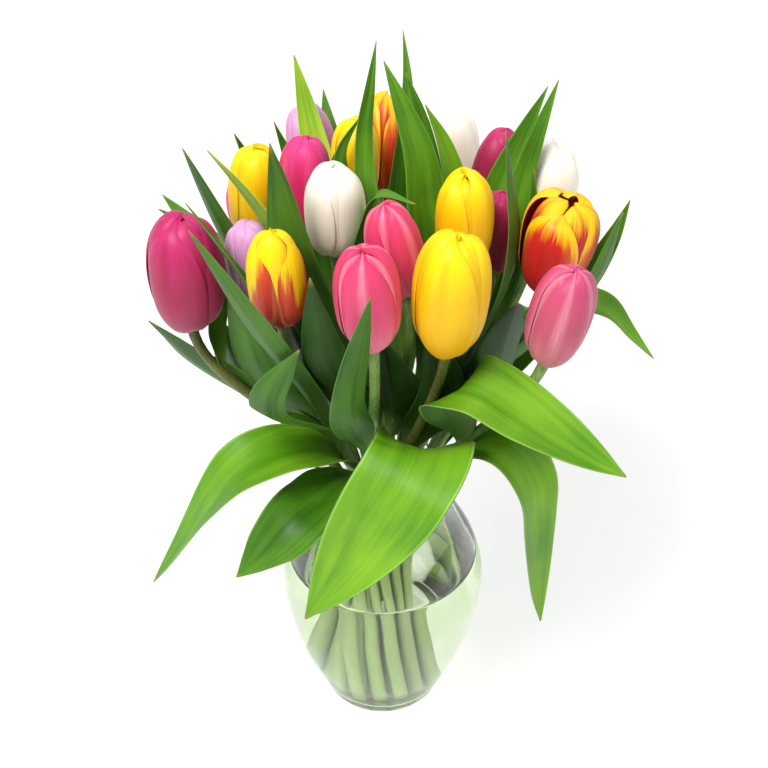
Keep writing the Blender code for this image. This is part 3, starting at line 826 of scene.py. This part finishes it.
def makeCamera():
    camera = bpy.data.cameras.new("camera")
    camera.lens = cameraLooks["lens"]
    camera.sensor_width = 36.0
    view = bpy.data.objects.new("camera", camera)
    bpy.context.scene.collection.objects.link(view)
    tilt = radians(cameraLooks["elevation"])
    away = Vector((0, -cos(tilt), sin(tilt)))
    view.location = Vector(cameraLooks["target"]) + away * cameraLooks["distance"]
    view.rotation_euler = (pi / 2 - tilt, 0, 0)
    bpy.context.scene.camera = view


lampLooks = {
    "sky": 0.50,
    "floorGlow": 0.42,    # keeps the floor white beyond the shadow at the foot
    "lampAim": (0.0, 0.0, 0.25),
    "key": (40.0, 0.8, (-0.65, -0.75, 1.85)),
    "fill": (6.0, 1.2, (1.3, -0.7, 1.1)),
    "back": (13.0, 1.2, (0.2, 1.3, 1.7)),
}


def makeLamps():
    world = bpy.data.worlds.new("softRoom")
    bpy.context.scene.world = world
    world.use_nodes = True
    world.node_tree.nodes["Background"].inputs[0].default_value = (1.0, 1.0, 1.0, 1.0)
    world.node_tree.nodes["Background"].inputs[1].default_value = lampLooks["sky"]
    for name in ("key", "fill", "back"):
        power, size, place = lampLooks[name]
        lamp = bpy.data.lights.new(name, "AREA")
        lamp.energy = power
        lamp.size = size
        holder = bpy.data.objects.new(name, lamp)
        bpy.context.scene.collection.objects.link(holder)
        holder.location = place
        aim = Vector(lampLooks["lampAim"]) - Vector(place)
        holder.rotation_euler = aim.to_track_quat("-Z", "Y").to_euler()


def makeFloor():
    sheet = bmesh.new()
    bmesh.ops.create_grid(sheet, x_segments=1, y_segments=1, size=6.0)
    mesh = bpy.data.meshes.new("floor")
    sheet.to_mesh(mesh)
    sheet.free()
    material, tree, shader = newMaterial("paleFloor")
    where = tree.nodes.new("ShaderNodeTexCoord").outputs["Object"]
    colour = rampNode(tree, noiseNode(tree, where, 2.0, 2.0),
                      [(0.3, (0.60, 0.60, 0.60)), (0.7, (0.62, 0.62, 0.62))])
    tree.links.new(colour, shader.inputs["Base Color"])
    shader.inputs["Roughness"].default_value = 0.9
    shader.inputs["Specular IOR Level"].default_value = 0.1
    shader.inputs["Emission Color"].default_value = (1.0, 1.0, 1.0, 1.0)
    shader.inputs["Emission Strength"].default_value = lampLooks["floorGlow"]
    mesh.materials.append(material)
    floor = bpy.data.objects.new("floor", mesh)
    bpy.context.scene.collection.objects.link(floor)


# leaves not named here are fresh green; the named ones get a lighter copy of it for painted light or a
# darker copy for painted shade
leafTints = {
    "leaf13a": "litBright", "leaf18b": "litBright", "leaf07a": "litBright", "leaf18a": "litBright",
    "leaf06b": "litBright", "leaf24b": "litBright", "leaf12b": "litBright",
    "leaf05b": "shadedDeep", "leaf10b": "shadedDeep", "leaf12c": "shadedDeep", "leaf17a": "shadedDeep", "leaf02c": "shadedDeep",
    "leaf16b": "shadedDeep", "leaf13b": "shadedDeep", "leaf08a": "shadedDeep",
    "leaf03a": "backlitPale", "leaf04a": "backlitPale",
}


def main():
    bpy.context.scene.view_settings.view_transform = "Standard"
    makeCamera()
    makeLamps()
    makeFloor()
    print("camera, lamps and floor ready")
    outside, inside = measuredOutline("vase")
    makeVase(outside, inside)
    makeWater(inside)
    print("vase and water ready")
    heads = {number: measuredHead(number) for number in tulipNumbers}
    places = neckPlaces(heads)
    stems = {name: stemMaterial(name + "Stem", *stemFinishes[name]) for name in ("green", "tan")}
    leaves = {}
    for tint, (outDark, outLight, inDark, inLight) in leafFinishes.items():
        leaves[tint] = [leafMaterial(tint + "LeafOuter", outDark, outLight),
                        leafMaterial(tint + "LeafInner", inDark, inLight)]
    for number in tulipNumbers:
        tan = number in stemFinishes["tanStems"]
        makeStem(number, stemPath(places[number], heads[number], 24), stems["tan" if tan else "green"])
        path = stemPath(places[number], heads[number], 6)
        for k, rows in enumerate(measuredLeaves(number, path)):
            name = "leaf%02d%s" % (number, "abcdefgh"[k])
            makeLeaf(name, number, leafCurve(rows, path), leaves[leafTints.get(name, "fresh")])
    print("stems and leaves ready")
    slots = {part["node"]: part["material_slot"] for part in frame["record"]["subparts"]}
    petals = {"petal_" + name.replace("L", "_l"): petalMaterial(name, finish)
              for name, finish in petalFinishes.items()}
    for number in tulipNumbers:
        slotName = slots["bloom_%02d" % number]
        makeHead(number, heads[number], [petals[slotName]])
    print("heads ready")


main()
